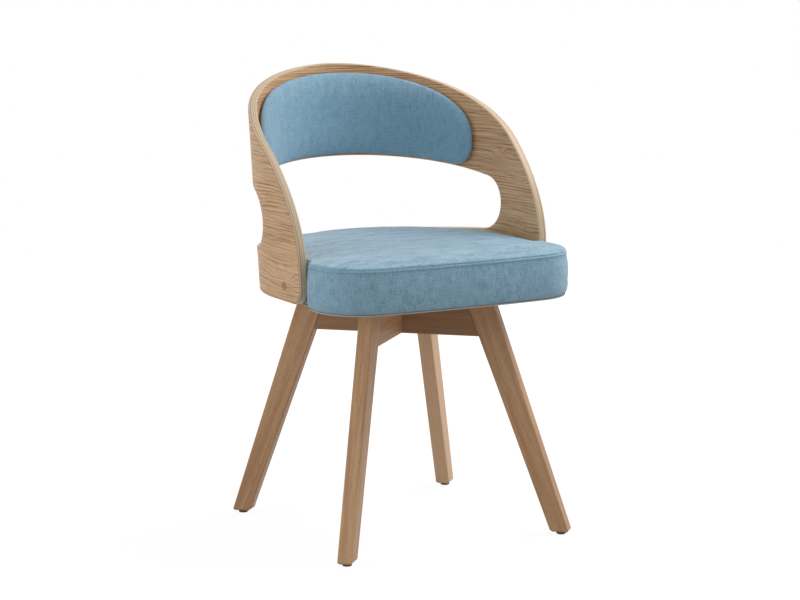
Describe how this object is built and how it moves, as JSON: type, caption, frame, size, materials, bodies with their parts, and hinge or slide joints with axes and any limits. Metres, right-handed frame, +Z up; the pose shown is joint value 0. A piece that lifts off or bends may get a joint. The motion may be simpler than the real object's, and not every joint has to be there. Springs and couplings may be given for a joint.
{
  "type": "swivel dining chair",
  "caption": "Dining chair with splayed wooden legs, a round bent-plywood shell with a crescent back pad and a box cushion, turning on a ball-bearing swivel.",
  "frame": {"origin": "on the floor, under the middle of the chair's footprint with the seat facing forwards", "axes": "+Z up; +Y from the seat's front edge to the back; +X to the right as seen from the front"},
  "size_m": [0.4733, 0.497, 0.7668],
  "materials": {
    "beech": "satin lacquer",
    "veneered_plywood": "satin lacquer",
    "plywood": "unfinished",
    "blue_fabric": "woven linen look",
    "pale_panel": "matt",
    "black_plastic": "matt",
    "zinc_steel": "zinc plated",
    "ball_steel": "polished",
    "brass_trim": "satin"
  },
  "bodies": {
    "base": {"leg_front_left": "beech", "leg_front_right": "beech", "leg_rear_right": "beech", "leg_rear_left": "beech", "rail_lower": "beech", "rail_upper": "beech", "rail_dowels": "beech", "glides": "black_plastic", "glide_nails": "zinc_steel", "lower_plate": "zinc_steel", "lower_plate_screws": "zinc_steel"},
    "cage": {"ball_cage": "black_plastic", "balls": "ball_steel"},
    "seat": {"upper_plate": "zinc_steel", "pivot_rivet": "zinc_steel", "upper_plate_bolts": "zinc_steel", "tee_nuts": "zinc_steel", "seat_board": "plywood", "cleat_right": "plywood", "cleat_left": "plywood", "cleat_rear_right": "plywood", "cleat_rear_left": "plywood", "cleat_screws": "zinc_steel", "seat_cushion": "blue_fabric", "underside_panel": "pale_panel", "bent_shell": "veneered_plywood", "shell_bolts": "zinc_steel", "bolt_caps": "brass_trim", "insert_nuts": "zinc_steel", "back_pad": "blue_fabric", "back_pad_board": "plywood", "pad_clips": "black_plastic"}
  },
  "joints": [
    {"name": "seat_swivel", "type": "hinge", "parent": "base", "child": "seat", "pos_m": [0, -0.00668, 0.3989], "axis": [0, 0, 1], "continuous": true},
    {"name": "cage_turn", "type": "hinge", "parent": "base", "child": "cage", "pos_m": [0, -0.00668, 0.3989], "axis": [0, 0, 1], "continuous": true}
  ],
  "couplings": [
    {"joint": "cage_turn", "follows": "seat_swivel", "ratio": 0.5}
  ]
}
